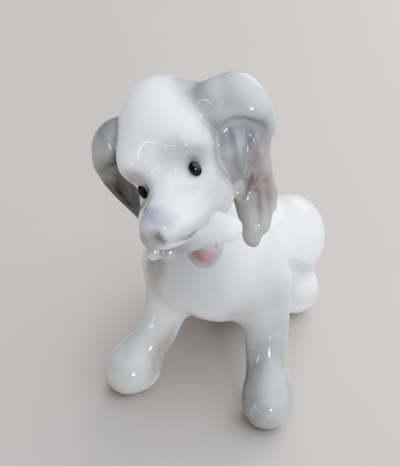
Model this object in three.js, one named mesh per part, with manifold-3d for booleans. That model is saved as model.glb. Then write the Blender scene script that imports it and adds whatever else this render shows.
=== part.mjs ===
// A sitting porcelain puppy that holds a bone crosswise in its mouth.
//
// The figurine is slip-cast in pieces: a hollow torso, a hollow head, and small solid casts for the ears,
// legs, lower jaw, tongue, tail and bone. The pieces are luted together with a thin seam of slip, glazed and
// fired. The eyes are two raised drops of black enamel.
//
// Millimetres, +Z up. The puppy faces -Y and its own left is +X. The origin is on the table plane, under the
// middle of the figurine's bounding box.

import * as THREE from "three";
import { mergeVertices } from "three/addons/utils/BufferGeometryUtils.js";
import Module from "manifold-3d";

const wasm = await Module();
wasm.setup();

// ---------------------------------------------------------------- driving dimensions

const SEAM = 0.3; // the slip between two luted pieces
const WALL = 2.8; // the cast wall of the torso and the head
const VENT_RADIUS = 1.7; // the hole under the seat that lets the kiln's hot air out
const DRAIN_RADIUS = 1.7; // the hole between the head's hollow and the torso's

const FORELEG_RADIUS = 6.1;
const FOREPAW = new THREE.Vector3(7.8, 8.4, 7.7);
const HAUNCH = new THREE.Vector3(12, 15, 14.5);
const HINDPAW = new THREE.Vector3(9, 9.2, 8.6);
const SKULL = new THREE.Vector3(12.3, 13.5, 14);
const SOCKET_RADIUS = 3.6;
const EYE = new THREE.Vector3(1.45, 0.8, 1.9);
const LEFT_EYE_Z = -7.5; // heights in the head's own frame
const RIGHT_EYE_Z = -8.6;

// The head turns, tilts towards the puppy's right shoulder and lifts its muzzle a little.
const HEAD_CENTRE = new THREE.Vector3(-10.8, -17.2, 86.5);
const HEAD_SCALE = 1.023; // the head's pattern below is drawn this much smaller than the cast
const HEAD_TURN = 2;
const HEAD_TILT = -30;
const HEAD_LIFT = -7;

// ---------------------------------------------------------------- clay: fields, and the skins over them

const at = (x, y, z) => new THREE.Vector3(x, y, z);
const degrees = (x, y, z) => new THREE.Euler(...[x, y, z].map(THREE.MathUtils.degToRad), "ZYX");

// A field gives a point's distance to a surface, and is negative inside it.
const ball = (centre, radius) => (p) => p.distanceTo(centre) - radius;

function egg(centre, radii, turn = new THREE.Euler()) {
  const into = new THREE.Quaternion().setFromEuler(turn).invert();
  return (p) => {
    const q = p.clone().sub(centre).applyQuaternion(into).divide(radii);
    const reach = q.length();
    if (reach < 1e-6) return -Math.min(radii.x, radii.y, radii.z);
    return (reach * (reach - 1)) / q.divide(radii).length();
  };
}

// A limb is a run of tapered rods through the points, with a radius at each point.
function limb(points, radii) {
  const along = new THREE.Vector3();
  const from = new THREE.Vector3();
  return (p) => {
    let least = Infinity;
    for (let i = 0; i < points.length - 1; i++) {
      along.subVectors(points[i + 1], points[i]);
      from.subVectors(p, points[i]);
      const t = THREE.MathUtils.clamp(from.dot(along) / along.lengthSq(), 0, 1);
      const radius = THREE.MathUtils.lerp(radii[i], radii[i + 1], t);
      least = Math.min(least, from.addScaledVector(along, -t).length() - radius);
    }
    return least;
  };
}

function softMin(a, b, width) {
  const h = Math.max(width - Math.abs(a - b), 0) / width;
  return Math.min(a, b) - (h * h * width) / 4;
}

const blend = (width, ...fields) => (p) => fields.map((f) => f(p)).reduce((a, b) => softMin(a, b, width));
const carve = (width, field, ...tools) => (p) => -softMin(-field(p), blend(width, ...tools)(p), width);

// A capsule's vertices follow a spine, then slide along their rays onto the field's surface. The spine has to
// lie inside the field, and the surface has to be in plain sight of it.
function skin(field, spine, { sides = 20, rings = 10, caps = 5, side = at(1, 0, 0), level = 0 } = {}) {
  const curve = new THREE.CatmullRomCurve3(spine);
  const height = curve.getLength();
  const geometry = bare(new THREE.CapsuleGeometry(1, height, caps, sides, rings));
  const position = geometry.getAttribute("position");
  const vertex = new THREE.Vector3();
  const normal = new THREE.Vector3();
  const across = new THREE.Vector3();
  const ray = new THREE.Vector3();
  for (let i = 0; i < position.count; i++) {
    vertex.fromBufferAttribute(position, i);
    const straight = THREE.MathUtils.clamp(vertex.y, -height / 2, height / 2);
    const along = straight / height + 0.5;
    const origin = curve.getPointAt(along);
    const tangent = curve.getTangentAt(along);
    normal.copy(side).addScaledVector(tangent, -side.dot(tangent)).normalize();
    across.crossVectors(normal, tangent);
    ray.copy(normal).multiplyScalar(vertex.x).addScaledVector(tangent, vertex.y - straight);
    ray.addScaledVector(across, vertex.z).normalize();
    vertex.copy(origin).addScaledVector(ray, distanceAlong(field, origin, ray, level));
    position.setXYZ(i, vertex.x, vertex.y, vertex.z);
  }
  return solid(geometry);
}

// How far out along the ray the field last passes the level.
function distanceAlong(field, origin, ray, level) {
  const REACH = 40;
  const STEP = 0.5;
  const point = new THREE.Vector3();
  const value = (distance) => field(point.copy(origin).addScaledVector(ray, distance)) - level;
  let outside = REACH;
  while (outside > STEP && value(outside - STEP) > 0) outside -= STEP;
  let inside = outside - STEP;
  for (let halving = 0; halving < 12; halving++) {
    const middle = (inside + outside) / 2;
    if (value(middle) > 0) outside = middle;
    else inside = middle;
  }
  return outside;
}

// ---------------------------------------------------------------- solids

function bare(geometry) {
  geometry.deleteAttribute("normal");
  geometry.deleteAttribute("uv");
  return mergeVertices(geometry, 1e-4);
}

function solid(geometry) {
  const vertProperties = geometry.getAttribute("position").array;
  const triVerts = new Uint32Array(geometry.index.array);
  return new wasm.Manifold(new wasm.Mesh({ numProp: 3, vertProperties, triVerts }));
}

const placed = (geometry, place) => solid(bare(geometry).applyMatrix4(place));
const joined = (solids) => solids.reduce((whole, next) => whole.add(next));
const cut = (whole, ...tools) => tools.reduce((rest, tool) => rest.subtract(tool), whole);

function rod(from, to, radius) {
  const middle = from.clone().lerp(to, 0.5);
  const turn = new THREE.Quaternion().setFromUnitVectors(at(0, 1, 0), to.clone().sub(from).normalize());
  const geometry = new THREE.CylinderGeometry(radius, radius, from.distanceTo(to), 12);
  return placed(geometry, new THREE.Matrix4().compose(middle, turn, at(1, 1, 1)));
}

// Everything under the table plane, for wiping the soles and the seat flat.
const tableBlock = new THREE.BoxGeometry(400, 400, 100);
const underTable = placed(tableBlock, new THREE.Matrix4().makeTranslation(0, 0, -50));

// ---------------------------------------------------------------- the head's own frame: -Y forward, +Z crown

const headTurn = new THREE.Quaternion().setFromEuler(degrees(HEAD_LIFT, HEAD_TILT, HEAD_TURN));
const headPlace = new THREE.Matrix4().compose(HEAD_CENTRE, headTurn, at(1, 1, 1).multiplyScalar(HEAD_SCALE));
const intoHead = headPlace.clone().invert();
const onHead = (x, y, z) => at(x, y, z).applyMatrix4(headPlace);
const inHead = (field) => (p) => HEAD_SCALE * field(p.clone().applyMatrix4(intoHead));

// ---------------------------------------------------------------- torso

const torsoField = blend(
  9,
  egg(at(0, -10, 40), at(18.5, 16.5, 18.5)),
  egg(at(0, 8, 32), at(18, 20, 19)),
  egg(at(0, 22, 20.5), at(19, 18, 21.5)),
  limb([at(0, -7, 46), at(-4.5, -12, 59), at(-8.5, -14.5, 70)], [13, 11, 10]),
);
const torsoSpine = [at(0, 24, 20), at(0, 11, 32), at(-1.5, -2, 46), at(-6.5, -13, 64)];
const torsoSkin = (level) => skin(torsoField, torsoSpine, { sides: 28, rings: 14, caps: 6, level });
const torsoHollow = skin(torsoField, torsoSpine, { sides: 20, rings: 10, caps: 4, level: -WALL });
const torsoGrown = torsoSkin(SEAM);

// ---------------------------------------------------------------- head

// A left and a right copy of a field made for one side of the head.
const pair = (make) => [make(1), make(-1)];

const flewLine = (s) => [at(s * 6.8, -9, -15.6), at(s * 5.6, -16, -16.4), at(s * 2.8, -21.3, -16.6)];
const flew = (s) => limb(flewLine(s), [6, 5, 4]);
// The upper lip closes down on the bone in a fold at the left corner of the mouth, and hangs in a small round
// lump beside the nose on the right.
const lipFold = limb([at(9.3, -8.5, -17), at(8.6, -12.5, -18.6), at(6.8, -16.5, -18.6)], [3.4, 3.1, 2.6]);
const lipLump = ball(at(-3.4, -24.4, -16.3), 3.2);
const headMass = blend(
  5,
  egg(at(-0.2, 0.5, 1), SKULL),
  ...pair((s) => ball(at(s * 6.6, -7.5, -2.5), 6.7)),
  limb([at(0, -6, -12), at(0, -15, -13.5), at(0, -22, -14.5)], [9, 7, 4.8]),
  ...pair(flew),
  egg(at(0, -26, -13), at(2.8, 1.8, 2.2)),
);
const socket = (s) => ball(at(s * 8.6, -16.5, -6.5), SOCKET_RADIUS);
const headField = inHead(blend(2, carve(2.5, headMass, ...pair(socket)), lipFold, lipLump));
const headSpine = [onHead(0, 3, 3), onHead(0, -3, -5), onHead(0, -12, -12.5), onHead(0, -19, -15)];
const headSkin = (level) => skin(headField, headSpine, { sides: 34, rings: 15, caps: 8, level });
const headGrown = headSkin(SEAM);
const headHollow = cut(
  skin(headField, headSpine, { sides: 20, rings: 8, caps: 4, level: -WALL }),
  skin(torsoField, torsoSpine, { sides: 20, rings: 10, caps: 4, level: SEAM + WALL }),
);

// ---------------------------------------------------------------- ears

const strand = (points, radii, detail = {}) => {
  const spine = points.map((p) => p.clone().applyMatrix4(headPlace));
  return skin(limb(spine, radii), spine, { sides: 10, rings: 5, caps: 3, ...detail });
};

// An ear stands out in a rounded hood, folds over, and hangs in a hollow flap that ends in three locks. Each
// rim point is a centre and a radius, and the rim runs down the ear's outer edge. The left ear is pinched in
// below its hood, and the right one is broad and flares out, because each was folded by hand.
const LEFT_EAR = {
  hood: [at(19.7, 0.5, 0.5), at(8.4, 6, 8.6)],
  flap: [at(14.7, 0.8, -12.3), at(6.6, 4.4, 10.8)],
  rim: [
    [at(23.4, 0.3, -3.2), 4.2],
    [at(23.4, 0.3, -6.5), 3.9],
    [at(21.9, 0, -9.8), 2.6],
    [at(19.1, 0, -13.2), 2.3],
    [at(17.4, -0.3, -17), 2.6],
    [at(16.9, -0.2, -22), 2.7],
  ],
  lift: 1.2,
  near: -0.5,
};
const RIGHT_EAR = {
  hood: [at(-16.2, 0.5, 0.8), at(8.3, 5.6, 7.8)],
  flap: [at(-14.2, 0.8, -10.5), at(6.6, 4.4, 10.8)],
  rim: [
    [at(-21.8, 0, -1.6), 3.8],
    [at(-22.1, 0, -5.3), 3.6],
    [at(-21, 0, -9.5), 3.5],
    [at(-19.7, -0.3, -12.8), 3.3],
    [at(-18.4, -0.5, -16.2), 3.2],
    [at(-17.3, -0.5, -20.5), 2.9],
  ],
  lift: 1,
  near: 1.4,
};
function ear(side, { hood, flap, rim, lift, near }) {
  const put = (x, y, z) => at(side * (x - near), y, z + lift);
  const root = side * 8;
  const hollow = limb([put(19.5, -7.4, -8.8), put(16, -6.6, -14), put(13, -6.2, -20)], [6, 4.8, 2.4]);
  const underHood = limb([put(15.5, -5, -4), put(19.5, -4.6, -4.8), put(23, -4.4, -6.6)], [1.8, 2.6, 2]);
  const clay = blend(
    2.5,
    egg(...hood),
    egg(...flap, degrees(0, side * 22, 0)),
    limb([at(root, 1, 4), at(side * 14.5, 1, 3.2)], [5, 5.5]),
    limb([at(root, 0, -6), at(side * 13, 0.5, -8)], [4.5, 4.2]),
    limb(rim.map(([centre]) => centre), rim.map(([, radius]) => radius)),
  );
  const folds = [
    limb([put(17, -0.6, -5.5), put(16.6, -1.8, -9.5), put(15, -2.2, -15)], [1.5, 2, 1.2]),
    limb([put(20.6, -0.8, -6.5), put(19.4, -1.5, -11), put(15.8, -2.4, -17)], [1.2, 1.3, 1]),
  ];
  const field = inHead(blend(1.2, carve(1.5, clay, hollow, underHood), ...folds));
  const spine = [put(19.5, 2, 1), put(17.5, 2.4, -6), put(15.2, 2, -14), put(12.8, 0.5, -21)];
  const skinned = skin(field, spine.map((p) => p.applyMatrix4(headPlace)), { sides: 26, rings: 14, caps: 5 });
  const locks = [
    strand([put(12, -2.5, -20), put(10.6, -4, -28), put(8.4, -4.5, -33.4)], [3.2, 2.7, 1.8]),
    strand([put(15, -1.5, -20), put(13.8, -2.5, -27), put(12.2, -2.5, -32)], [3.2, 2.4, 1.5]),
    strand([put(17.4, 0.5, -18), put(16.9, 1, -25), put(14.9, 1.5, -29.8)], [2.9, 2.1, 1.3]),
  ];
  return cut(joined([skinned, ...locks]), headGrown, torsoGrown);
}

// ---------------------------------------------------------------- mouth: bone, lower jaw and tongue

// The shaft thickens towards its left end, and each end spreads into two knobs.
const SHAFT = [
  [at(11.9, -17.4, -22.4), 3.3],
  [at(6.1, -19.3, -22.4), 2.7],
  [at(1.2, -21.2, -21.9), 2.2],
  [at(-4.8, -23.2, -20.9), 1.9],
];
const KNOBS = [
  [at(10.4, -17.3, -21.6), 3.3],
  [at(12, -17.3, -22.8), 3.4],
  [at(-5.9, -24.1, -20.5), 2],
  [at(-2.8, -23.2, -22), 2],
];
const boneSkin = (grown) => {
  const [centres, radii] = [SHAFT.map(([centre]) => centre), SHAFT.map(([, radius]) => radius)];
  const shaft = strand(centres, radii, { sides: 16, rings: 5, level: grown });
  const knobs = KNOBS.map(([centre, radius]) => {
    const middle = centre.clone().applyMatrix4(headPlace);
    return placed(new THREE.SphereGeometry(radius + grown, 16, 12), new THREE.Matrix4().setPosition(middle));
  });
  return joined([shaft, ...knobs]);
};
const bone = boneSkin(0);
const boneGrown = boneSkin(SEAM);

const jawLean = degrees(-40, 0, 0);
const jawField = inHead(
  carve(
    1,
    blend(
      3,
      egg(at(0.5, -11.5, -27), at(5.6, 3.6, 6.6), jawLean),
      limb([at(0, -4, -16), at(0.5, -9, -24)], [6, 4]),
    ),
    egg(at(0.5, -15.4, -24.6), at(4.4, 3.6, 6.2), jawLean),
  ),
);
const jawSpine = [onHead(0, -5, -17), onHead(0, -7, -23), onHead(0.5, -11, -29)];
const jawSkin = (level) => skin(jawField, jawSpine, { sides: 20, rings: 6, caps: 5, level });
const jaw = cut(jawSkin(0), headGrown, torsoGrown, boneGrown);

const tongueField = inHead(egg(at(0.5, -13, -26.4), at(4, 2.4, 5.4), jawLean));
const tongueSpine = [onHead(0.5, -12, -24.5), onHead(0.5, -13.5, -28)];
const tongueSkin = skin(tongueField, tongueSpine, { sides: 14, rings: 3, caps: 4 });
const tongue = cut(tongueSkin, jawSkin(SEAM), headGrown, boneGrown);

// ---------------------------------------------------------------- eyes

// A drop of enamel sits where a ray out of the head's middle meets the floor of the socket. The eyes are put
// on by hand, and the right one sits a little lower.
function eye(side, grown) {
  const start = onHead(side * 5.4, -8, side > 0 ? LEFT_EYE_Z : RIGHT_EYE_Z);
  const ray = at(side * 0.5, -0.87, 0).transformDirection(headPlace);
  const middle = start.clone().addScaledVector(ray, distanceAlong(headField, start, ray, 0));
  const turn = new THREE.Matrix4().makeRotationZ(side * 0.52);
  const place = headPlace.clone().setPosition(middle).multiply(turn).scale(EYE.clone().addScalar(grown));
  return placed(new THREE.SphereGeometry(1, 14, 10), place);
}

const eyes = pair((side) => eye(side, 0));
const eyeBeds = pair((side) => eye(side, SEAM));

// ---------------------------------------------------------------- legs and tail

function foreleg(side, knee, wristOut) {
  const points = [at(side * 14, -11, 38), at(side * (knee - 2), -14, 27), at(side * knee, -20, 17)];
  const wrist = at(side * wristOut, -26, 10);
  const radii = [9, FORELEG_RADIUS + 0.8, FORELEG_RADIUS, FORELEG_RADIUS - 0.3];
  const field = blend(5, limb([...points, wrist], radii), egg(at(side * 22, -28.6, 6.9), FOREPAW));
  const spine = [...points, at(side * 22, -28, 8)];
  return cut(skin(field, spine, { rings: 11 }), torsoGrown, underTable);
}

function hindLeg(side) {
  const field = blend(2, egg(at(side * 14.6, 22.4, 29), HAUNCH), egg(at(side * 17.5, 23, 8.2), HINDPAW));
  const spine = [at(side * 14, 22, 35), at(side * 16, 22, 20), at(side * 17.5, 22, 8)];
  return cut(skin(field, spine, { sides: 22, side: at(0, -1, 0) }), torsoGrown, underTable);
}

const tailSpine = [at(0, 34, 12), at(1, 40, 11), at(3, 43.5, 15), at(4, 44, 20)];
const tailField = limb(tailSpine, [5, 4.4, 3.4, 2.4]);
const tail = cut(skin(tailField, tailSpine, { sides: 14, rings: 8, caps: 4 }), torsoGrown);

// ---------------------------------------------------------------- the two hollow casts, opened

const seatMiddle = at(0, 22, 0);
const vent = rod(seatMiddle.clone().setZ(-2), seatMiddle.clone().setZ(12), VENT_RADIUS);
const drain = rod(at(-5.5, -12.5, 62), at(-9.5, -15.5, 86), DRAIN_RADIUS);
const torso = cut(torsoSkin(0), torsoHollow, vent, drain, underTable);
const head = cut(headSkin(0), headHollow, torsoGrown, drain, boneGrown, ...eyeBeds);

// ---------------------------------------------------------------- the figurine

const PIECES = {
  torso: [torso, 0xe3e6ea, 0.12],
  head: [head, 0xe9ecee, 0.12],
  left_ear: [ear(1, LEFT_EAR), 0xb6bac4, 0.14],
  right_ear: [ear(-1, RIGHT_EAR), 0xaeb5b8, 0.14],
  lower_jaw: [jaw, 0xd2d0d3, 0.14],
  tongue: [tongue, 0xd6a3ab, 0.14],
  bone: [bone, 0xe4e7ef, 0.1],
  left_eye: [eyes[0], 0x0b0c10, 0.06],
  right_eye: [eyes[1], 0x0b0c10, 0.06],
  left_foreleg: [foreleg(1, 18.8, 21), 0xdcdddd, 0.12],
  right_foreleg: [foreleg(-1, 15.7, 19.8), 0xdcdddd, 0.12],
  left_hind_leg: [hindLeg(1), 0xeef0f2, 0.12],
  right_hind_leg: [hindLeg(-1), 0xeef0f2, 0.12],
  tail: [tail, 0xe9ebed, 0.12],
};

const figurine = new THREE.Group();
figurine.name = "puppy_figurine";
for (const [name, [cast, color, roughness]] of Object.entries(PIECES)) {
  const { vertProperties, triVerts } = cast.getMesh();
  const geometry = new THREE.BufferGeometry();
  geometry.setAttribute("position", new THREE.BufferAttribute(vertProperties, 3));
  geometry.setIndex(new THREE.BufferAttribute(triVerts, 1));
  const mesh = new THREE.Mesh(geometry, new THREE.MeshStandardMaterial({ color, roughness, metalness: 0 }));
  mesh.name = name;
  figurine.add(mesh);
}

const bounds = new THREE.Box3().setFromObject(figurine);
figurine.position.set(-(bounds.min.x + bounds.max.x) / 2, -(bounds.min.y + bounds.max.y) / 2, 0);
figurine.updateMatrixWorld(true);

export default figurine;
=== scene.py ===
import math

import bmesh
import bpy
import numpy as np
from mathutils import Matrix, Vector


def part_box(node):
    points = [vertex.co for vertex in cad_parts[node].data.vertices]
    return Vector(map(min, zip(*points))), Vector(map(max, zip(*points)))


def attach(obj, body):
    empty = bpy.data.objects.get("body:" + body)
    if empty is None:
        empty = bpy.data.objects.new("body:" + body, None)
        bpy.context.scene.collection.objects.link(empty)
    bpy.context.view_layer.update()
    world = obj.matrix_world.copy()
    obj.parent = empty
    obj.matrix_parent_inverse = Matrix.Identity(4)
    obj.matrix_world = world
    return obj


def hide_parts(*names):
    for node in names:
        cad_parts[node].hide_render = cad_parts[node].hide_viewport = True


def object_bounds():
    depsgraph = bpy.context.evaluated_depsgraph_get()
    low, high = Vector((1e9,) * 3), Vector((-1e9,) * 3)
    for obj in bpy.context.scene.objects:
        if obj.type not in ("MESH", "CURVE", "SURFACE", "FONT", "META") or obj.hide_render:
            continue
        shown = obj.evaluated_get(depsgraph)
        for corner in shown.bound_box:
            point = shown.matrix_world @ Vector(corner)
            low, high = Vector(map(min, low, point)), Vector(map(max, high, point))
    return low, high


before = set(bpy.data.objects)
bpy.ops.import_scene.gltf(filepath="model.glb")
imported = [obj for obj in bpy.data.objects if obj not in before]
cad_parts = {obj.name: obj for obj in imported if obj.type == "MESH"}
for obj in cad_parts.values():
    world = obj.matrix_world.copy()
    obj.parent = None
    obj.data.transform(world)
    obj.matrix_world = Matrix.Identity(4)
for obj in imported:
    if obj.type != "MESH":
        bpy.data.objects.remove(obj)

import openvdb
from mathutils import Euler, Vector

for leftover in ("Cube", "Light", "Camera"):
    if leftover in bpy.data.objects:
        bpy.data.objects.remove(bpy.data.objects[leftover])
CAD_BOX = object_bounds()

MM = 0.001

# ---------------------------------------------------------------- where things are


def box_mm(node):
    low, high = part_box(node)
    return np.array(low) / MM, np.array(high) / MM


# The pattern's own origin: the forelegs stand evenly about its plane x = 0, and their toes reach this far
# ahead of it.
TOE_REACH = 37.0
LEFT_LOW, LEFT_HIGH = box_mm("left_foreleg")
RIGHT_LOW = box_mm("right_foreleg")[0]
PATTERN = np.array([(LEFT_HIGH[0] + RIGHT_LOW[0]) / 2, LEFT_LOW[1] + TOE_REACH, 0.0])

# The head's own frame: -Y is its face, +Z its crown. It is tilted to the puppy's right.
HEAD_MIDDLE = PATTERN + np.array([-10.8, -17.2, 86.5])
HEAD_SCALE = 1.023
HEAD_TURN = np.array(Euler([math.radians(a) for a in (-7, -30, 2)], "XYZ").to_matrix())


def on_body(x, y, z):
    return PATTERN + np.array([x, y, z])


def on_head(x, y, z):
    return HEAD_MIDDLE + HEAD_SCALE * (HEAD_TURN @ np.array([x, y, z]))


# ---------------------------------------------------------------- camera

# Held about 27 cm away, high above the table and round to the puppy's left. The angles are in degrees.
AIM = on_body(-8.5, 0, 42)
CAMERA_AZIMUTH = 18.0
CAMERA_HEIGHT = 37.0
CAMERA_DISTANCE = 265.0
CAMERA_LENS = 66.83
CAMERA_SENSOR = 36.0
CAMERA_NEAREST = 10.0


def outward(azimuth, height):
    """A way out from the puppy, by degrees round from its front to its left and up from the table."""
    azimuth, height = math.radians(azimuth), math.radians(height)
    level = math.cos(height)
    return Vector((math.sin(azimuth) * level, -math.cos(azimuth) * level, math.sin(height)))


def make_camera():
    back = outward(CAMERA_AZIMUTH, CAMERA_HEIGHT)
    data = bpy.data.cameras.new("camera")
    data.lens = CAMERA_LENS
    data.sensor_width = CAMERA_SENSOR
    data.clip_start = CAMERA_NEAREST * MM
    camera = bpy.data.objects.new("camera", data)
    camera.location = Vector(AIM * MM) + back * CAMERA_DISTANCE * MM
    camera.rotation_euler = back.to_track_quat("Z", "Y").to_euler()
    bpy.context.scene.collection.objects.link(camera)
    bpy.context.scene.camera = camera


make_camera()

# ---------------------------------------------------------------- clay as fields of distance

# A field is a block of samples of the distance to a surface, in millimetres, negative inside the clay.
# Samples stand a STEP apart, with a MARGIN of air round the puppy, and distances beyond the BAND are cut off.
STEP = 0.42
MARGIN = 4.0
BAND = 6.0

# A curve is laid as this many straight lengths between two of its points.
CURVE_STEPS = 8
# How far past its own radius a tool still draws the clay, in millimetres, and a press, in widths of itself.
TOOL_REACH = 5.0
PRESS_REACH = 2.2

LOW = np.array(CAD_BOX[0]) / MM - MARGIN
COUNT = np.ceil((np.array(CAD_BOX[1]) / MM + MARGIN - LOW) / STEP).astype(int) + 1


def soft_min(a, b, width):
    h = np.maximum(width - np.abs(a - b), 0) / width
    return np.minimum(a, b) - h * h * width / 4


def blurred(block, sigma):
    reach = int(math.ceil(3 * sigma))
    weights = np.exp(-0.5 * (np.arange(-reach, reach + 1) / sigma) ** 2)
    weights = (weights / weights.sum()).astype(np.float32)
    for axis in range(3):
        pads = [(reach, reach) if i == axis else (0, 0) for i in range(3)]
        padded = np.pad(block, pads, mode="edge")
        total = np.zeros_like(block)
        for k, weight in enumerate(weights):
            span = [slice(None)] * 3
            span[axis] = slice(k, k + block.shape[axis])
            total += weight * padded[tuple(span)]
        block = total
    return block


def smooth_strip(points):
    """A Catmull-Rom curve through rows of numbers."""
    rows = np.array(points, float)
    if len(rows) < 3:
        return rows
    ends = np.vstack([2 * rows[0] - rows[1], rows, 2 * rows[-1] - rows[-2]])
    out = []
    for a, b, c, d in zip(ends, ends[1:], ends[2:], ends[3:]):
        for t in np.arange(CURVE_STEPS) / CURVE_STEPS:
            squared = (2 * a - 5 * b + 4 * c - d) * t**2
            cubed = (3 * b - a - 3 * c + d) * t**3
            out.append(0.5 * (2 * b + (c - a) * t + squared + cubed))
    return np.array(out + [rows[-1]])


def from_roll(places, strip):
    """Distances to a roll of clay. Each row of `strip` is a middle and a radius."""
    if len(strip) == 1:
        return np.linalg.norm(places - strip[0, :3], axis=-1) - strip[0, 3]
    least = None
    for a, b in zip(strip, strip[1:]):
        along = b[:3] - a[:3]
        t = np.clip((places - a[:3]) @ along / (along @ along), 0, 1)
        gap = np.linalg.norm(places - a[:3] - t[..., None] * along, axis=-1) - (a[3] + t * (b[3] - a[3]))
        least = gap if least is None else np.minimum(least, gap)
    return least


class Block:
    """A field in a box of the sample grid, and the modelling tools that work on it."""

    def __init__(self, low, field):
        self.low = low
        self.field = field

    @property
    def span(self):
        return tuple(slice(int(a), int(a + n)) for a, n in zip(self.low, self.field.shape))

    def rub(self, radius):
        """Rubs facets away. The second pass gives back what the first one shrank."""
        once = blurred(self.field, radius / STEP)
        self.field = 2 * once - blurred(once, radius / STEP)
        return self

    def work(self, strip, reach, change):
        """Changes the field within `reach` of a strip: `change` takes the places and the field there."""
        first = np.floor(((strip[:, :3] - strip[:, 3:]).min(0) - reach - LOW) / STEP).astype(int) - self.low
        last = np.ceil(((strip[:, :3] + strip[:, 3:]).max(0) + reach - LOW) / STEP).astype(int) - self.low
        first, last = np.maximum(first, 0), np.minimum(last + 1, self.field.shape)
        if (last <= first).any():
            return
        part = tuple(slice(a, b) for a, b in zip(first, last))
        index = np.stack(np.meshgrid(*[np.arange(a, b) for a, b in zip(first, last)], indexing="ij"), -1)
        self.field[part] = change(LOW + STEP * (index + self.low), self.field[part])

    def add(self, points, soft):
        """Rolls on more clay. `soft` is the width of the smoothed join in millimetres."""
        strip = smooth_strip(points)
        self.work(strip, TOOL_REACH, lambda p, f: soft_min(f, from_roll(p, strip), soft))

    def cut(self, points, soft):
        """Cuts a roll of clay away. `soft` is how rounded the groove's edges are, in millimetres."""
        strip = smooth_strip(points)
        self.work(strip, TOOL_REACH, lambda p, f: -soft_min(-f, from_roll(p, strip), soft))

    def press(self, points, depth):
        """Presses a soft hollow as wide as the strip's radii, or raises one if `depth` is negative."""
        strip = smooth_strip(points)
        lines = np.hstack([strip[:, :3], np.zeros((len(strip), 1))])
        width = strip[:, 3].mean()

        def change(p, f):
            return f + depth * np.exp(-((np.maximum(from_roll(p, lines), 0) / width) ** 2))

        self.work(strip, PRESS_REACH * width, change)


def by_head(*rows):
    """Rows of a place on the head and a radius, both in the head's own frame."""
    return [np.append(on_head(*row[:3]), HEAD_SCALE * row[3]) for row in rows]


def by_body(*rows):
    """Rows of a place on the body and a radius."""
    return [np.append(on_body(*row[:3]), row[3]) for row in rows]


# ---------------------------------------------------------------- the casts

# Ways through the middle of the torso's hollow and of the head's.
TORSO_PATH = [on_body(0, 24, 20), on_body(0, 11, 32), on_body(-1.5, -2, 46), on_body(-6.5, -13, 64)]
HEAD_PATH = [on_head(0, 3, 3), on_head(0, -3, -5), on_head(0, -12, -12.5), on_head(0, -19, -15)]

# Plugs for the vent under the seat and the drain through the neck. The vent's plug starts above the table,
# or it would stick out under the seat.
VENT = [on_body(0, 22, 3.2), on_body(0, 22, 15)]
DRAIN = [on_body(-5.5, -12.5, 62), on_body(-9.5, -15.5, 86)]
PLUG_RADIUS = 2.4
PLUG_SOFT = 0.4


def spread(start, free):
    """Grows a start through all the free samples that it can reach."""
    while True:
        grown = start.copy()
        for axis in range(3):
            ahead = [slice(None)] * 3
            behind = [slice(None)] * 3
            ahead[axis] = slice(1, None)
            behind[axis] = slice(None, -1)
            grown[tuple(ahead)] |= start[tuple(behind)]
            grown[tuple(behind)] |= start[tuple(ahead)]
        grown &= free
        if grown.sum() == start.sum():
            return start
        start = grown


def fill_hollow(cast, path):
    """Stops the vent and the drain, then fills all that a path through the hollow's middle can reach, since
    nobody can see into it."""
    for tube in (VENT, DRAIN):
        cast.add([np.append(end, PLUG_RADIUS) for end in tube], PLUG_SOFT)
    free = cast.field > 0
    start = np.zeros_like(free)
    for a, b in zip(path, path[1:]):
        for t in np.linspace(0, 1, 12):
            at = np.round((a + t * (b - a) - LOW) / STEP).astype(int) - cast.low
            if (at >= 0).all() and (at < free.shape).all():
                start[tuple(at)] = free[tuple(at)]
    cast.field[spread(start, free)] *= -1
    return cast


def cast_of(node):
    """The field of a CAD node in a box round it."""
    bm = bmesh.new()
    bm.from_mesh(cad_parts[node].data)
    bmesh.ops.remove_doubles(bm, verts=bm.verts, dist=1e-6)
    bmesh.ops.triangulate(bm, faces=bm.faces)
    bm.verts.index_update()
    points = np.array([v.co[:] for v in bm.verts]) / MM
    corners = np.array([[v.index for v in f.verts] for f in bm.faces], np.uint32)
    bm.free()
    grid = openvdb.FloatGrid.createLevelSetFromPolygons(
        ((points - LOW) / STEP).astype(np.float32), triangles=corners, halfWidth=BAND / STEP
    )
    reach = BAND + 1
    low = np.maximum(np.floor((points.min(0) - reach - LOW) / STEP), 0).astype(int)
    high = np.minimum(np.ceil((points.max(0) + reach - LOW) / STEP).astype(int) + 1, COUNT)
    field = np.empty(high - low, np.float32)
    grid.copyToArray(field, ijk=tuple(int(i) for i in low))
    return Block(low, field * STEP)


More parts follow.
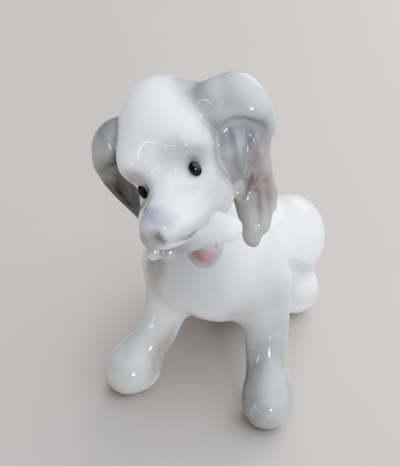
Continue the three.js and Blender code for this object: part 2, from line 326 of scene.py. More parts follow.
def model_head():
    cast = fill_hollow(cast_of("head"), HEAD_PATH).rub(1.1)
    # eye sockets, wide and shallow, with a fuller brow over them and a low lid under the left one
    cast.press(by_head((9.6, -12.6, -5.6, 3.6)), 0.9)
    cast.press(by_head((-8.6, -12.4, -6.4, 3.2)), 0.8)
    cast.press(by_head((5.6, -15.2, -9.2, 2.6)), 0.4)
    cast.press(by_head((9.6, -13.8, -10.4, 2.2)), 0.3)
    cast.press(by_head((9.2, -12.8, -0.4, 2.4)), -0.6)
    cast.press(by_head((-7, -14, -1.4, 2.6)), -0.5)
    cast.press(by_head((5.4, -14, -8.6, 1), (8.6, -12.6, -10.4, 1)), -0.3)
    # the nose pad, its front edge, and the crease under it
    cast.press(by_head((-2.2, -26.2, -11.2, 2.2), (3.2, -26.4, -12.4, 2.2)), -0.35)
    cast.press(by_head((-0.6, -28.3, -12.6, 1), (1.8, -28.5, -13.8, 1), (3.6, -27.4, -15.4, 1)), -0.25)
    cast.cut(by_head((0.9, -29.2, -14.2, 0.5), (0.3, -29, -16, 0.6), (-0.6, -27.9, -18.4, 0.7)), 1.0)
    # the lip's edge over the bone
    cast.press(by_head((2, -25.2, -17.6, 1.6), (5.4, -21.6, -18.6, 1.6), (8.4, -16.5, -18.6, 1.6)), -0.3)
    return cast


def model_left_ear():
    cast = cast_of("left_ear").rub(0.9)
    # the hood's roll, and the hollow under it
    cast.add(by_head((15.6, -1.4, 5.4, 3.4), (16.2, -2, 2.2, 3.1), (16.4, -2.4, 0.2, 2.4)), 2.5)
    under_hood = by_head(
        (15.6, -4.4, -3.4, 1.2), (18, -4.2, -3.6, 2.3), (21, -3.7, -4.7, 2.3), (23.6, -3.2, -6.6, 1.9)
    )
    cast.cut(under_hood, 1.2)
    hollow = by_head(
        (19, -5.6, -6.6, 3.4), (17.6, -5.9, -10, 3.5), (16, -6.2, -14, 3), (14.4, -6.8, -18, 1.8)
    )
    cast.cut(hollow, 1.6)
    # two soft folds in the hollow, with a valley between them that fades downwards
    inner_fold = by_head(
        (15.8, -0.2, -5.2, 1.8), (16.4, -0.5, -8, 2.5), (16, -0.8, -11.4, 2.6), (15, -1.6, -15, 1.5)
    )
    cast.add(inner_fold, 1.6)
    outer_fold = by_head(
        (20.6, 0, -6, 1.6), (20, -0.4, -9, 2), (18.8, -1, -12.4, 2), (16.8, -1.8, -16, 1.3)
    )
    cast.add(outer_fold, 1.6)
    # sharp creases where the folds meet the roof
    cast.cut(by_head((16.5, -3.2, -2.9, 0.7), (16.1, -4.1, -7.1, 0.9), (15.6, -4.5, -11.1, 0.6)), 0.9)
    cast.cut(by_head((21.1, -2.7, -5.9, 0.9), (19, -3.6, -8.9, 1), (16.5, -4.3, -12, 0.6)), 0.9)
    # the flap's front edge folds over the hollow, with a crease beside it
    flap_edge = by_head(
        (20.4, 0, -12.6, 1.7), (19.5, -0.4, -15.2, 2.3), (18, -0.8, -18.4, 2.6), (16.6, -1.2, -21.4, 2.5)
    )
    cast.add(flap_edge, 1.5)
    flap_crease = by_head(
        (20.3, -3.2, -11.8, 0.5), (18.3, -3.7, -14.4, 0.8), (15.3, -4.4, -17.2, 1), (13.3, -6.2, -20.2, 0.8)
    )
    cast.cut(flap_crease, 0.7)
    # the locks, with grooves between them
    long_lock = by_head(
        (12.6, -2.2, -22, 3), (12, -2.7, -26.4, 3.2), (10.8, -3.2, -30, 2.7), (9.2, -3.8, -33.6, 1.6)
    )
    cast.add(long_lock, 1.6)
    cast.add(by_head((15.9, -0.9, -21, 2.8), (14.9, -1.3, -26, 2.6), (12.8, -1.9, -31, 1.6)), 1.4)
    cast.press(by_head((16.2, -4.5, -20.9, 0.9), (14.5, -4.8, -24.6, 0.9), (13, -5.4, -28.6, 0.9)), 1.1)
    cast.press(by_head((19, -3, -19.6, 0.8), (17.6, -3.2, -24, 0.8), (15.6, -3.2, -28.8, 0.8)), 0.8)
    return cast.rub(0.45)


def model_right_ear():
    cast = cast_of("right_ear").rub(0.9)
    # a brow of clay runs across it, hollow below
    cast.press(by_head((-21.6, -2.2, 0.6, 1.6), (-18.5, -4.6, 1.4, 1.6), (-15, -5.2, 2, 1.6)), -0.4)
    cast.cut(by_head((-16.4, -7.6, -4, 3.4), (-19.4, -6.6, -7, 3.6), (-19.2, -6, -12, 3)), 1.2)
    cast.add(by_head((-14.6, -1, -7, 1.4), (-17.2, -1.6, -12, 1.4), (-17.2, -2.2, -17, 1.2)), 1.4)
    return cast.rub(0.45)


def model_bone():
    """The bone, with a dent in the knob that shows."""
    cast = cast_of("bone").rub(0.7)
    cast.press(by_head((8.4, -19.8, -21.8, 1.6)), 0.25)
    return cast


def model_mouth():
    """The lower jaw and the tongue lying in it, nearly flush with its rim."""
    jaw = cast_of("lower_jaw").rub(0.8)
    tongue = cast_of("tongue").rub(0.7)
    tongue.add(by_head((0.8, -15.2, -25, 2.4), (1.4, -14.4, -28, 2.6)), 1.5)
    return jaw, tongue


def model_foreleg(side):
    cast = cast_of(f"{side}_foreleg").rub(1.7)
    out = 1 if side == "left" else -1
    # a flattened top to the paw, and the faintest lines between the toes
    cast.press(by_body((out * 22, -31, 14.6, 4)), 0.35)
    for toe in (-2.7, 2.7):
        line = by_body((out * 22.2 + toe, -36.2, 9, 0.8), (out * 22.4 + 1.1 * toe, -37.4, 5, 0.8))
        cast.press(line, 0.16)
    if side == "right":
        # the right paw is fuller on its inner side
        cast.add(by_body((-17.4, -28.5, 7, 4.4)), 3)
    return cast


def model_hind_leg(side):
    cast = cast_of(f"{side}_hind_leg").rub(1.5)
    out = 1 if side == "left" else -1
    # more clay on the back of the hind paw, then a deep crease between it and the haunch
    cast.add(by_body((out * 21, 18, 14.4, 5.4)), 4)
    cast.cut(by_body((out * 27.2, 6, 25.4, 1.2), (out * 28, 14, 24, 1.7), (out * 26.4, 22, 23, 1.6)), 2.6)
    return cast


# ---------------------------------------------------------------- luting the casts together

# Widths of the smoothed seams, in millimetres. BUTTED is one that is hardly smoothed.
BUTTED = 0.5
FORELEG_SEAM = 5.5
HIND_LEG_SEAM = 3.0
TAIL_SEAM = 3.0
JAW_SEAM = 1.2
TONGUE_SEAM = 0.8
BONE_SEAM = 0.7
# An ear's seam is narrow at the cheek. From a height on the head it widens, over the given run, to the
# crown's.
CHEEK_SEAM = 1.6
CROWN_SEAMS = {"left_ear": 6, "right_ear": 2}
EAR_WIDENS_AT = 0.5
EAR_WIDENS_OVER = 6
# The neck's seam is wide within a ball round the neck, and narrows over its last few millimetres.
NECK_MIDDLE = on_body(-8.5, -13.5, 71)
NECK_SEAM = 4.0
NECK_BALL = 19
NECK_NARROWS_OVER = 6


class Clay:
    """A field over the whole grid, and which cast each sample of it belongs to."""

    def __init__(self):
        self.all = Block(np.zeros(3, int), np.full(COUNT, BAND, np.float32))
        self.nearest = np.full(COUNT, BAND, np.float32)
        self.owner = np.zeros(COUNT, np.int8)
        self.names = [""]

    def lute(self, name, cast, soft):
        """Joins a cast on. `soft` is the width of the smoothed seam in millimetres."""
        span = cast.span
        self.names.append(name)
        self.all.field[span] = soft_min(self.all.field[span], cast.field, soft)
        closer = cast.field < self.nearest[span]
        self.nearest[span][closer] = cast.field[closer]
        self.owner[span][closer] = len(self.names) - 1


def ear_seam(cast, widest):
    """An ear flows out of the crown in a wide seam, and meets the cheek in a sharper corner."""
    index = np.stack(np.meshgrid(*[np.arange(n) for n in cast.field.shape], indexing="ij"), -1)
    height = ((LOW + STEP * (index + cast.low) - HEAD_MIDDLE) @ HEAD_TURN)[..., 2] / HEAD_SCALE
    return CHEEK_SEAM + (widest - CHEEK_SEAM) * np.clip((height - EAR_WIDENS_AT) / EAR_WIDENS_OVER, 0, 1)


def join_head(clay, head):
    """The neck's seam is wide and soft. Everywhere else the head's casts only touch the body."""
    body, top = clay.all.field, head.all.field
    where = np.nonzero((body < BAND) & (top < BAND))
    away = np.linalg.norm(LOW + STEP * np.stack(where, 1) - NECK_MIDDLE, axis=1)
    soft = BUTTED + (NECK_SEAM - BUTTED) * np.clip((NECK_BALL - away) / NECK_NARROWS_OVER, 0, 1)
    joined = np.minimum(body, top)
    joined[where] = soft_min(body[where], top[where], soft)
    closer = head.nearest < clay.nearest
    clay.owner[closer] = head.owner[closer] + len(clay.names) - 1
    clay.names += head.names[1:]
    clay.all.field = joined


def make_clay():
    clay = Clay()
    clay.lute("torso", fill_hollow(cast_of("torso"), TORSO_PATH).rub(1.9), BUTTED)
    for side in ("left", "right"):
        clay.lute(f"{side}_foreleg", model_foreleg(side), FORELEG_SEAM)
        clay.lute(f"{side}_hind_leg", model_hind_leg(side), HIND_LEG_SEAM)
    clay.lute("tail", cast_of("tail").rub(1.2), TAIL_SEAM)
    head = Clay()
    head.lute("head", model_head(), BUTTED)
    for name, ear in (("left_ear", model_left_ear()), ("right_ear", model_right_ear())):
        head.lute(name, ear, ear_seam(ear, CROWN_SEAMS[name]))
    jaw, tongue = model_mouth()
    head.lute("lower_jaw", jaw, JAW_SEAM)
    head.lute("tongue", tongue, TONGUE_SEAM)
    head.lute("bone", model_bone(), BONE_SEAM)
    join_head(clay, head)
    return clay


# ---------------------------------------------------------------- from clay to meshes

# The corners of a grid cube, counted from its lowest one.
CORNERS = [(i, j, k) for i in (0, 1) for j in (0, 1) for k in (0, 1)]
# Passes that pull the net's points onto the skin, and the least steepness that a pass may divide by.
SKIN_PASSES = 3
LEAST_STEEP = 0.2
# The blur, in millimetres, that tells a crease from an edge.
HOLLOW_BLUR = 1.1


def taken(field, places):
    """The field between the samples, at places in millimetres."""
    at = (places - LOW) / STEP
    low = np.clip(np.floor(at).astype(int), 0, COUNT - 2)
    part = at - low
    total = 0
    for i in (0, 1):
        for j in (0, 1):
            for k in (0, 1):
                weight = 1
                for axis, bit in enumerate((i, j, k)):
                    weight = weight * (part[:, axis] if bit else 1 - part[:, axis])
                total = total + weight * field[low[:, 0] + i, low[:, 1] + j, low[:, 2] + k]
    return total


def slope(field, places, reach):
    """The field's slope, measured between points `reach` away on either side."""
    out = np.empty_like(places)
    for axis in range(3):
        move = np.zeros(3)
        move[axis] = reach
        out[:, axis] = taken(field, places + move) - taken(field, places - move)
    return out / (2 * reach)


def mixed_cubes(label):
    """The cubes whose corners aren't all of one cast or all in the air, and a grid of their numbers."""
    cubes = np.zeros(COUNT - 1, bool)
    first = label[:-1, :-1, :-1]
    ends = COUNT - 1
    for i, j, k in CORNERS[1:]:
        cubes |= label[i : ends[0] + i, j : ends[1] + j, k : ends[2] + k] != first
    cube = np.stack(np.nonzero(cubes), 1)
    number = np.full(COUNT - 1, -1, np.int32)
    number[tuple(cube.T)] = np.arange(len(cube))
    return cube, number


def net_points(field, label, cube):
    """A point in each cube, amid the places where the skin, or else a seam, crosses the cube's edges."""
    skin_sum = np.zeros((len(cube), 3))
    skin_count = np.zeros(len(cube))
    wall_sum = np.zeros((len(cube), 3))
    wall_count = np.zeros(len(cube))
    for a in CORNERS:
        for axis in range(3):
            if a[axis]:
                continue
            b = tuple(1 if i == axis else a[i] for i in range(3))
            at_a = tuple((cube + a).T)
            at_b = tuple((cube + b).T)
            la, lb = label[at_a], label[at_b]
            fa, fb = field[at_a], field[at_b]
            crossing = (fa < 0) != (fb < 0)
            t = np.where(crossing, fa / np.where(fa == fb, 1, fa - fb), 0.5)
            place = np.array(a) + t[:, None] * (np.array(b) - np.array(a))
            skin_sum += np.where(crossing[:, None], place, 0)
            skin_count += crossing
            wall = (la != lb) & ~crossing
            wall_sum += np.where(wall[:, None], place, 0)
            wall_count += wall
    on_skin = skin_count > 0
    place = np.where(
        on_skin[:, None],
        skin_sum / np.maximum(skin_count, 1)[:, None],
        wall_sum / np.maximum(wall_count, 1)[:, None],
    )
    return LOW + STEP * (cube + place), on_skin


def settled(field, skin):
    """Pulls points onto the skin, by no more than half a STEP in each pass."""
    for _ in range(SKIN_PASSES):
        lean = slope(field, skin, 0.5 * STEP)
        value = taken(field, skin)
        steep = np.maximum((lean * lean).sum(1), LEAST_STEEP)
        move = -(value / steep)[:, None] * lean
        length = np.linalg.norm(move, axis=1, keepdims=True)
        skin = skin + move * np.minimum(1, 0.5 * STEP / np.maximum(length, 1e-9))
    return skin


def net_quads(label, number, count):
    """For each of `count` casts, its net's quads, and whether each one is on the skin or in a seam."""
    quads = {i: [] for i in range(1, count + 1)}
    for axis in range(3):
        u, v = (axis + 1) % 3, (axis + 2) % 3
        span_a = [slice(1, -1)] * 3
        span_b = [slice(1, -1)] * 3
        span_a[axis] = slice(0, -1)
        span_b[axis] = slice(1, None)
        la, lb = label[tuple(span_a)], label[tuple(span_b)]
        edge = np.stack(np.nonzero(la != lb), 1)
        low = edge.copy()
        for other in (u, v):
            low[:, other] += 1
        net = []
        for du, dv in ((-1, -1), (0, -1), (0, 0), (-1, 0)):
            c = low.copy()
            c[:, u] += du
            c[:, v] += dv
            net.append(number[tuple(c.T)])
        net = np.stack(net, 1)
        ea, eb = la[tuple(edge.T)], lb[tuple(edge.T)]
        is_skin = (ea == 0) | (eb == 0)
        for i in quads:
            forward, backward = ea == i, eb == i
            if forward.any():
                quads[i].append((net[forward], is_skin[forward]))
            if backward.any():
                quads[i].append((net[backward][:, ::-1], is_skin[backward]))
    return quads


def surface_nets(clay):
    """Wraps a net round each cast's clay. Neighbouring casts share the seam's points."""
    field = clay.all.field
    label = np.where(field < 0, clay.owner, 0).astype(np.int8)
    cube, number = mixed_cubes(label)
    places, on_skin = net_points(field, label, cube)
    skin = settled(field, places[on_skin])
    places[on_skin] = skin
    normals = np.zeros_like(places)
    lean = slope(field, skin, 1.0 * STEP)
    normals[on_skin] = lean / np.maximum(np.linalg.norm(lean, axis=1, keepdims=True), 1e-9)
    # how hollow the skin is: the blurred field falls below zero in a crease and rises over an edge
    hollowness = np.zeros(len(places))
    hollowness[on_skin] = -taken(blurred(field, HOLLOW_BLUR / STEP), skin)
    return places, normals, hollowness, net_quads(label, number, len(clay.names) - 1)


def make_pieces(clay):
    """A closed piece for each cast. Its skin takes the clay's own normals, a hidden seam keeps the mesh's."""
    places, normals, hollowness, quads = surface_nets(clay)
    pieces = {}
    for i, parts in quads.items():
        net = np.concatenate([p[0] for p in parts])
        is_skin = np.concatenate([p[1] for p in parts])
        used, corner = np.unique(net, return_inverse=True)
        corner = corner.reshape(-1, 4)
        mesh = bpy.data.meshes.new(clay.names[i])
        mesh.vertices.add(len(used))
        mesh.vertices.foreach_set("co", (places[used] * MM).astype(np.float32).ravel())
        mesh.loops.add(corner.size)
        mesh.loops.foreach_set("vertex_index", corner.astype(np.int32).ravel())
        mesh.polygons.add(len(corner))
        mesh.polygons.foreach_set("loop_start", np.arange(0, corner.size, 4, dtype=np.int32))
        mesh.update(calc_edges=True)
        mesh.validate()
        turned = normals[used][corner].reshape(-1, 3) * np.repeat(is_skin, 4)[:, None]
        mesh.normals_split_custom_set(turned.tolist())
        hollow_attribute = mesh.attributes.new("hollowness", "FLOAT", "POINT")
        hollow_attribute.data.foreach_set("value", hollowness[used].astype(np.float32))
        piece = bpy.data.objects.new(f"{clay.names[i]}_glazed", mesh)
        bpy.context.scene.collection.objects.link(piece)
        pieces[clay.names[i]] = piece
    return pieces


CLAY = make_clay()
PIECES = make_pieces(CLAY)

# ---------------------------------------------------------------- finishes


def linear(code):
    """A colour code as the scene-linear values that shaders take."""
    parts = [int(code[i : i + 2], 16) / 255 for i in (1, 3, 5)]
    return tuple(c / 12.92 if c <= 0.04045 else ((c + 0.055) / 1.055) ** 2.4 for c in parts) + (1.0,)


def add(tree, kind, links=None, **settings):
    """Adds a node. `links` maps its inputs to other nodes' outputs, or to plain values."""
    node = tree.nodes.new(kind)
    for key, value in settings.items():
        setattr(node, key, value)
    for key, source in (links or {}).items():
        if isinstance(source, bpy.types.NodeSocket):
            tree.links.new(source, node.inputs[key])
        else:
            node.inputs[key].default_value = source
    return node


def blank(name):
    """A material with no nodes yet."""
    material = bpy.data.materials.new(name)
    material.use_nodes = True
    material.node_tree.nodes.clear()
    return material


def clamped(tree, value, low, high, out_low=0.0, out_high=1.0):
    """Eases from `out_low` to `out_high` as the value goes from `low` to `high`."""
    links = {"Value": value, "From Min": low, "From Max": high, "To Min": out_low, "To Max": out_high}
    return add(tree, "ShaderNodeMapRange", links, interpolation_type="SMOOTHSTEP").outputs["Result"]


def mixed(tree, factor, a, b):
    node = add(tree, "ShaderNodeMix", data_type="RGBA")
    for socket, source in ((node.inputs[0], factor), (node.inputs[6], a), (node.inputs[7], b)):
        if isinstance(source, bpy.types.NodeSocket):
            tree.links.new(source, socket)
        else:
            socket.default_value = source
    return node.outputs[2]


def math_node(tree, operation, a, b):
    return add(tree, "ShaderNodeMath", {0: a, 1: b}, operation=operation).outputs[0]


def noise(tree, where, per_mm, detail=3.0):
    """Cloudy noise whose features are about 1 / per_mm millimetres across."""
    links = {"Vector": where, "Scale": per_mm / MM, "Detail": detail, "Roughness": 0.55}
    return add(tree, "ShaderNodeTexNoise", links).outputs["Fac"]


# An underglaze wash: coloured slip sprayed on through the air, so its edge fades over a few millimetres.
# Some of these clouds are not slip but painted shade, made the same way. Each one is an egg-shaped cloud
# round two places, with a radius, a colour, a strength and how hard its edge is. A wash fades out at this
# many times its radius.
WASH_OR_SHADE_FADES_AT = 1.25


def head_wash_or_shade(a, b, radius, colour, strength, edge):
    return on_head(*a), on_head(*b), radius, colour, strength, edge


def body_wash_or_shade(a, b, radius, colour, strength, edge):
    return on_body(*a), on_body(*b), radius, colour, strength, edge


# The right ear leans on the neck, so its wash runs over onto it.
RIGHT_EAR_WASH = head_wash_or_shade((-15, 3, 6), (-20, 3, -16), 12, "#70726c", 1.0, 0.7)
HEAD_WASHES_AND_SHADE = [
    # crown between the forehead and the left ear: grey with a breath of green, on down beside the ear
    head_wash_or_shade((9, 3, 12), (14.5, -3, 6), 6.2, "#76766b", 0.9, 0.4),
    head_wash_or_shade((14.5, -4, 6), (14.5, -3.5, -3), 4.2, "#7d7c70", 0.85, 0.35),
    head_wash_or_shade((14, -3, -3), (12.6, -6, -13), 4.8, "#6f6e60", 0.85, 0.35),
    # left ear: violet grey in front, mauve on the flap, greener at the back edge
    head_wash_or_shade((19, 3, 2), (22, 3, -18), 11.5, "#767676", 1.0, 0.75),
    head_wash_or_shade((19, 0, 6), (24, 1, -2), 8, "#878a8b", 0.8, 0.5),
    head_wash_or_shade((10, -3, -33), (16, 0, -20), 9.5, "#6d6a64", 1.0, 0.7),
    head_wash_or_shade((21, -1, -12), (16.7, -3, -23), 4.5, "#665350", 0.85, 0.5),
    head_wash_or_shade((18.6, -2.6, -5), (17.4, -3, -11), 2.2, "#8d8a94", 0.9, 0.4),
    # painted shade in the ear's folds and creases and between its locks, and a painted shadow under its hood
    head_wash_or_shade((16.5, -5.2, 0.4), (19.3, -4.2, -1.2), 1.8, "#54545c", 0.75, 0.1),
    head_wash_or_shade((19.3, -4.2, -1.2), (25.1, -2.4, -4.7), 2.1, "#51525b", 0.75, 0.1),
    head_wash_or_shade((16.5, -2.6, -2.9), (15.6, -3.5, -11.1), 1.3, "#59585e", 0.7, 0.1),
    head_wash_or_shade((21.1, -1.9, -5.9), (16.5, -3.4, -12), 1.3, "#58565c", 0.7, 0.1),
    head_wash_or_shade((20.8, -2.8, -11), (17.2, -3.2, -14.6), 1.3, "#4c413f", 0.8, 0.1),
    head_wash_or_shade((17.2, -3.2, -14.6), (13.2, -5.6, -20.2), 1.4, "#4b413c", 0.8, 0.1),
    head_wash_or_shade((16.2, -4.5, -20.9), (13, -5.9, -27.7), 1.1, "#4a4541", 0.75, 0.1),
    # right ear: grey with more green, and a much darker painted shade below the fold that crosses it
    RIGHT_EAR_WASH,
    head_wash_or_shade((-13, -5, -4.2), (-21.5, -4, -4.2), 6.4, "#262724", 0.85, 0.5),
    head_wash_or_shade((-18.6, -2.4, -8.2), (-15.8, -3.4, -15), 7.4, "#262420", 0.85, 0.5),
    # the sockets: mauve grey, partly paint and partly painted shade, deepest under the brow
    head_wash_or_shade((7.6, -13, -2.4), (11, -11.2, -5.8), 6.8, "#4f4b48", 0.8, 0.2),
    head_wash_or_shade((-6, -14, -4), (-10.3, -11.6, -4.6), 4.6, "#564f54", 0.8, 0.25),
    head_wash_or_shade((-4.4, -16.6, -7.4), (-4.4, -21, -10), 4.0, "#565a54", 0.85, 0.3),
    # the nose, blue grey
    head_wash_or_shade((-2.8, -26, -10), (4.4, -27, -12.4), 3.8, "#57656f", 0.85, 0.35),
    # painted shade: beige grey along the lips and the cheek's edge, a dark line under the lip where it
    # overhangs the bone, grey on the left flew and dark in the philtrum's cleft
    head_wash_or_shade((12.8, -9, -13.4), (9.1, -18, -18.4), 6.2, "#6d6a59", 0.85, 0.3),
    head_wash_or_shade((9.1, -19.1, -19.2), (2.4, -27, -17.2), 3.2, "#817f76", 0.75, 0.3),
    head_wash_or_shade((9.1, -19.8, -20.2), (2.4, -27.2, -18.2), 1.3, "#4b4641", 0.8, 0.1),
    head_wash_or_shade((-5, -25.4, -16), (-1.8, -28.3, -16), 4.8, "#625f4e", 0.85, 0.35),
    head_wash_or_shade((0.6, -28.6, -13.8), (0.1, -27.8, -17.4), 2.0, "#3c3933", 0.85, 0.1),
    # a painted shadow in the mauve crease between the cheek and the ear, and a breath of pink at the corner
    # of the mouth
    head_wash_or_shade((11.8, -3.4, -14), (10.4, -5.4, -21.4), 3.4, "#6d615c", 0.85, 0.4),
    head_wash_or_shade((12.2, -8, -16), (11.4, -7, -20), 2.4, "#a48d89", 0.6, 0.3),
]
MOUTH_WASHES_AND_SHADE = [
    # painted shade: the tongue's rose, darkened under the bone, and a dark line along the jaw's left edge
    head_wash_or_shade((0.2, -17.3, -26), (3.4, -16.2, -27.8), 4.1, "#76454a", 0.95, 0.4),
    head_wash_or_shade((-2.6, -17, -25), (-2, -14, -29), 1.6, "#605759", 0.6, 0.3),
]
BONE_PAINTED_SHADE = [
    # painted shade over the bone, which lies under the muzzle: a light grey by its knob, darker towards its
    # other end
    head_wash_or_shade((7.0, -20.8, -23), (2, -22.8, -22.8), 4.6, "#70737b", 0.75, 0.3),
    head_wash_or_shade((2, -23, -22.4), (-5.4, -25, -20), 4.2, "#5c5c59", 0.85, 0.3),
]
BODY_WASHES_AND_SHADE = [
    RIGHT_EAR_WASH,
    # forelegs: a thin greyish beige all over and grey over the toes, with a warm brown painted shade down the
    # left one's outside and the right one's inside
    body_wash_or_shade((16, -20, 34), (23, -30, 8), 13, "#8a8981", 0.75, 0.5),
    body_wash_or_shade((-16, -20, 34), (-23, -30, 8), 13, "#919085", 0.65, 0.5),
    body_wash_or_shade((23.5, -15, 36), (31, -26, 8), 8, "#5c5243", 0.7, 0.3),
    body_wash_or_shade((-10.6, -22.9, 19.3), (-13.4, -32, 8), 6.0, "#635541", 0.8, 0.3),
    body_wash_or_shade((22, -27, 17), (23, -38, 2), 14, "#6b6963", 0.85, 0.6),
    body_wash_or_shade((-23, -33, 12), (-22, -38, 5), 9, "#878679", 0.7, 0.3),
    # chest: painted shade, a cool bluish grey where it faces down away from the light, greyer up under the
    # mouth, at the right shoulder and on the left one
    body_wash_or_shade((-9, -22, 52), (4, -24, 42), 14, "#84868c", 0.7, 0.3),
    body_wash_or_shade((-15.5, -20, 50), (-16, -20.5, 36), 5.4, "#626058", 0.75, 0.3),
    body_wash_or_shade((18, -15, 52), (18.5, -15, 32), 6.6, "#878479", 0.7, 0.3),
    # painted shade on the flank behind the left foreleg, and in the valley between haunch and hind paw
    body_wash_or_shade((18, -6, 48), (19, -1, 28), 7.0, "#8f8e84", 0.7, 0.3),
    body_wash_or_shade((18.4, 5, 33), (26, 16, 22.6), 3.2, "#7b7e83", 0.6, 0.3),
]


def washed_and_shaded(tree, where, colour, washes_and_shade):
    """Sprays the washes and the painted shade over a colour one after another."""
    for a, b, radius, tint, strength, edge in washes_and_shade:
        length = float(np.linalg.norm(b - a)) / 2 + radius
        turn = Vector(b - a).to_track_quat("Z", "Y").to_euler()
        links = {
            "Vector": where,
            "Location": Vector((a + b) / 2 * MM),
            "Rotation": turn,
            "Scale": Vector((radius, radius, length)) * MM,
        }
        inside = add(tree, "ShaderNodeMapping", links, vector_type="TEXTURE").outputs["Vector"]
        reach = add(tree, "ShaderNodeVectorMath", {0: inside}, operation="LENGTH").outputs["Value"]
        cloud = clamped(tree, reach, WASH_OR_SHADE_FADES_AT, edge, 0.0, strength)
        colour = mixed(tree, cloud, colour, linear(tint))
    return colour


def strayed(tree, where):
    """Places that stray by up to 0.8 mm, so that the edge of a wash isn't a perfect curve."""
    links = {"Vector": where, "Scale": 0.35 / MM, "Detail": 2.0}
    wander = add(tree, "ShaderNodeTexNoise", links).outputs["Color"]
    middle = {0: wander, 1: (0.5, 0.5, 0.5)}
    drift = add(tree, "ShaderNodeVectorMath", middle, operation="SUBTRACT").outputs[0]
    drift = add(tree, "ShaderNodeVectorMath", {0: drift, "Scale": 1.6 * MM}, operation="SCALE").outputs[0]
    return add(tree, "ShaderNodeVectorMath", {0: where, 1: drift}, operation="ADD").outputs[0]


def porcelain(name, body, washes_and_shade):
    """Glazed hard-paste porcelain, slip-cast: a white body under a clear feldspar glaze. It has a wet gloss
    with faint ripples, cooler, darker colour in hollows, partly where the glaze pools and partly painted
    shade, and bare feet where it was wiped off."""
    material = blank(name)
    tree = material.node_tree
    where = add(tree, "ShaderNodeTexCoord").outputs["Object"]
    colour = washed_and_shaded(tree, strayed(tree, where), linear(body), washes_and_shade)
    # uneven body: clouds a centimetre wide, barely warmer and cooler
    clouds = clamped(tree, noise(tree, where, 0.1, 3.0), 0.35, 0.7, 0.0, 0.16)
    colour = mixed(tree, clouds, colour, linear("#dcdcd4"))
    # the glaze pools in hollows and thins on edges, and the grey put in the hollows is also painted shade:
    # the attribute comes from the surface's own curvature
    hollowness = add(tree, "ShaderNodeAttribute", attribute_name="hollowness").outputs["Fac"]
    deep = clamped(tree, hollowness, 0.05, 0.55, 0.0, 0.42)
    colour = mixed(tree, deep, colour, linear("#8d9296"))
    # iron specks, about a quarter of a millimetre across and rare
    speck = add(tree, "ShaderNodeTexVoronoi", {"Vector": where, "Scale": 0.22 / MM}).outputs["Distance"]
    colour = mixed(tree, clamped(tree, speck, 0.035, 0.02, 0.0, 0.4), colour, linear("#8a7a68"))

    # the wiped foot: bare body, a little soiled, up to a ragged line about a third of a millimetre high
    height = add(tree, "ShaderNodeSeparateXYZ", {0: where}).outputs["Z"]
    line = {0: noise(tree, where, 0.5), 1: 0.5 * MM, 2: 0.1 * MM}
    ragged = add(tree, "ShaderNodeMath", line, operation="MULTIPLY_ADD").outputs[0]
    bare = math_node(tree, "LESS_THAN", height, ragged)
    colour = mixed(tree, bare, colour, linear("#cfc8bb"))

    # the gloss is a little uneven, and the bare foot is matt
    gloss = clamped(tree, noise(tree, where, 0.25, 4.0), 0.3, 0.75, 0.03, 0.09)
    rough = add(tree, "ShaderNodeMix", {0: bare, 2: gloss, 3: 0.75}, data_type="FLOAT").outputs[0]
    # ripples in the glaze about 4.5 mm across, with finer ones over them
    ripple = noise(tree, where, 0.22, 2.0)
    skin = math_node(tree, "ADD", ripple, math_node(tree, "MULTIPLY", noise(tree, where, 1.4, 2.0), 0.12))
    bump = add(tree, "ShaderNodeBump", {"Strength": 0.35, "Distance": 0.12 * MM, "Height": skin}).outputs[0]

    shader = add(
        tree,
        "ShaderNodeBsdfPrincipled",
        {
            "Base Color": colour,
            "Roughness": rough,
            "Normal": bump,
            "IOR": 1.52,
            "Subsurface Weight": 0.12,
            "Subsurface Radius": (0.9, 1.0, 1.1),
            "Subsurface Scale": 1.0 * MM,
            "Coat Weight": 0.5,
            "Coat Roughness": 0.03,
            "Coat IOR": 1.5,
        },
    )
    add(tree, "ShaderNodeOutputMaterial", {"Surface": shader.outputs[0]})
    return material


def black_enamel(name):
    """Overglaze black enamel, dabbed on with a brush and fired again: glassy, a little brown in places."""
    material = blank(name)
    tree = material.node_tree
    where = add(tree, "ShaderNodeTexCoord").outputs["Object"]
    thin = clamped(tree, noise(tree, where, 0.9, 2.0), 0.45, 0.75, 0.0, 0.6)
    colour = mixed(tree, thin, linear("#08090c"), linear("#1e1614"))
    gloss = clamped(tree, noise(tree, where, 1.2, 2.0), 0.3, 0.7, 0.03, 0.1)
    ripple = noise(tree, where, 0.7, 1.0)
    links = {"Strength": 0.25, "Distance": 0.08 * MM, "Height": ripple}
    bump = add(tree, "ShaderNodeBump", links).outputs[0]
    shader = add(
        tree,
        "ShaderNodeBsdfPrincipled",
        {"Base Color": colour, "Roughness": gloss, "Normal": bump, "IOR": 1.5, "Specular IOR Level": 0.3},
    )
    add(tree, "ShaderNodeOutputMaterial", {"Surface": shader.outputs[0]})
    return material


WHITE = "#e6e8ea"
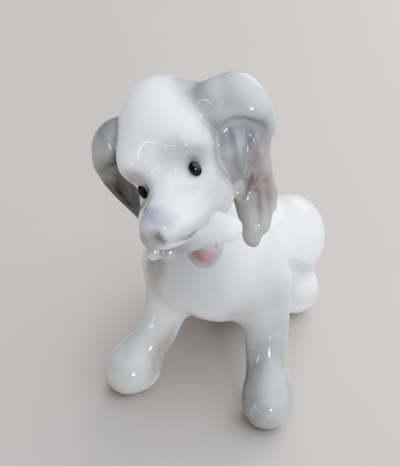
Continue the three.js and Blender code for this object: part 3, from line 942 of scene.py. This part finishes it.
# The jaw and the tongue lie under the muzzle and the bone, so their base is a mauve grey: painted shade over
# the white porcelain.
MOUTH_SHADE_GREY = "#959192"
BONE_WHITE = "#e4e7ee"
FINISHES = {
    "torso": porcelain("porcelain_torso", WHITE, BODY_WASHES_AND_SHADE),
    "head": porcelain("porcelain_head", WHITE, HEAD_WASHES_AND_SHADE),
    "ears": porcelain("porcelain_ears", WHITE, HEAD_WASHES_AND_SHADE),
    "lower_jaw": porcelain("porcelain_jaw", MOUTH_SHADE_GREY, MOUTH_WASHES_AND_SHADE),
    "tongue": porcelain("porcelain_tongue", MOUTH_SHADE_GREY, MOUTH_WASHES_AND_SHADE),
    "bone": porcelain("porcelain_bone", BONE_WHITE, BONE_PAINTED_SHADE),
    "eyes": black_enamel("black_enamel"),
    "forelegs": porcelain("porcelain_forelegs", WHITE, BODY_WASHES_AND_SHADE),
    "hind_legs": porcelain("porcelain_hind_legs", WHITE, BODY_WASHES_AND_SHADE),
}
SLOTS = {
    "torso": "torso",
    "head": "head",
    "left_ear": "ears",
    "right_ear": "ears",
    "lower_jaw": "lower_jaw",
    "tongue": "tongue",
    "bone": "bone",
    "left_foreleg": "forelegs",
    "right_foreleg": "forelegs",
    "left_hind_leg": "hind_legs",
    "right_hind_leg": "hind_legs",
    "tail": "hind_legs",
    "left_eye": "eyes",
    "right_eye": "eyes",
}


# Half the width, depth and height of each drop of enamel, and how far its middle is from the CAD eye's.
EYE_SIZES = {"left_eye": [1.5, 0.95, 1.95], "right_eye": [1.3, 0.9, 1.85]}
EYE_MOVES = {"left_eye": [0.5, 0.1, 0], "right_eye": [0, 0.1, 0]}
# Each eye leans outwards at its foot, by degrees, and is turned outwards round the head, by radians.
EYE_LEAN = -8
EYE_TURN = 0.52


def make_eye(node):
    """A drop of enamel: an oval bead, turned the way that its socket faces."""
    low, high = box_mm(node)
    side = 1 if node == "left_eye" else -1
    middle = (low + high) / 2 + HEAD_TURN @ np.array(EYE_MOVES[node])
    bm = bmesh.new()
    bmesh.ops.create_uvsphere(bm, u_segments=64, v_segments=40, radius=1)
    mesh = bpy.data.meshes.new(node)
    bm.to_mesh(mesh)
    bm.free()
    tilt = np.array(Euler((0, math.radians(EYE_LEAN * side), side * EYE_TURN)).to_matrix())
    bead = np.array([v.co[:] for v in mesh.vertices]) * (np.array(EYE_SIZES[node]) * HEAD_SCALE)
    places = middle + bead @ tilt.T @ HEAD_TURN.T
    mesh.vertices.foreach_set("co", (places * MM).astype(np.float32).ravel())
    mesh.shade_smooth()
    piece = bpy.data.objects.new(f"{node}_enamel", mesh)
    bpy.context.scene.collection.objects.link(piece)
    return piece


for eye in ("left_eye", "right_eye"):
    PIECES[eye] = make_eye(eye)
for node, piece in PIECES.items():
    piece.data.materials.append(FINISHES[SLOTS[node]])
    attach(piece, "root")
    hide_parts(node)

# ---------------------------------------------------------------- table and light


# In metres: the table reaches this far each way.
TABLE_REACH = 3
# The way to the skylight's middle, and how bright the room is away from it and straight under it.
SKYLIGHT = (0.55, 0.18, 0.82)
ROOM_DIM = 0.22
ROOM_BRIGHT = 6.0
# What the lamps face, and the colours of their light.
LIT = on_body(0, 0, 50)
WARM = "#fff1e0"
NEUTRAL = "#ffffff"
COOL = "#dfe6ff"


def make_table():
    """A plain pale matt table, with the faintest mottling."""
    mesh = bpy.data.meshes.new("table")
    corners = [(x * TABLE_REACH, y * TABLE_REACH, 0) for x, y in ((-1, -1), (1, -1), (1, 1), (-1, 1))]
    mesh.from_pydata(corners, [], [(0, 1, 2, 3)])
    table = bpy.data.objects.new("table", mesh)
    bpy.context.scene.collection.objects.link(table)
    material = blank("pale_table")
    tree = material.node_tree
    where = add(tree, "ShaderNodeTexCoord").outputs["Object"]
    colour = mixed(tree, noise(tree, where, 0.02, 3.0), linear("#8b8176"), linear("#92887d"))
    shader = add(tree, "ShaderNodeBsdfPrincipled", {"Base Color": colour, "Roughness": 0.55})
    add(tree, "ShaderNodeOutputMaterial", {"Surface": shader.outputs[0]})
    mesh.materials.append(material)


def make_lamp(name, azimuth, height, distance, size, power, colour):
    """A flat lamp that faces the puppy. Its distance and size are in metres, its power in watts."""
    way = outward(azimuth, height)
    data = bpy.data.lights.new(name, "AREA")
    data.shape = "RECTANGLE"
    data.size, data.size_y = size
    data.energy = power
    data.color = linear(colour)[:3]
    lamp = bpy.data.objects.new(name, data)
    lamp.location = Vector(LIT * MM) + way * distance
    lamp.rotation_euler = way.to_track_quat("Z", "Y").to_euler()
    bpy.context.scene.collection.objects.link(lamp)


def make_room():
    """A dim room under a wide bright skylight, off to the puppy's left: soft light with no edges."""
    world = bpy.data.worlds.new("room")
    world.use_nodes = True
    tree = world.node_tree
    tree.nodes.clear()
    where = add(tree, "ShaderNodeTexCoord").outputs["Generated"]
    ways = {0: where, 1: SKYLIGHT}
    toward = add(tree, "ShaderNodeVectorMath", ways, operation="DOT_PRODUCT").outputs["Value"]
    glow = clamped(tree, toward, 0.1, 1.0)
    colour = mixed(tree, glow, linear("#b5b0ac"), linear("#d3e2fb"))
    strength = clamped(tree, toward, 0.05, 1.0, ROOM_DIM, ROOM_BRIGHT)
    background = add(tree, "ShaderNodeBackground", {"Color": colour, "Strength": strength})
    add(tree, "ShaderNodeOutputWorld", {"Surface": background.outputs[0]})
    bpy.context.scene.world = world


# A firmer contrast keeps the greys of the washes and of the painted shade apart from the white.
bpy.context.scene.view_settings.look = "AgX - Medium High Contrast"
make_table()
make_room()
make_lamp("window_behind", azimuth=165, height=28, distance=1.2, size=(0.9, 0.6), power=18, colour=WARM)
make_lamp("small_window", azimuth=32, height=15, distance=1.3, size=(0.12, 0.16), power=8, colour=NEUTRAL)
make_lamp("window_bar", azimuth=-33, height=8, distance=1.3, size=(0.5, 0.03), power=1.3, colour=COOL)
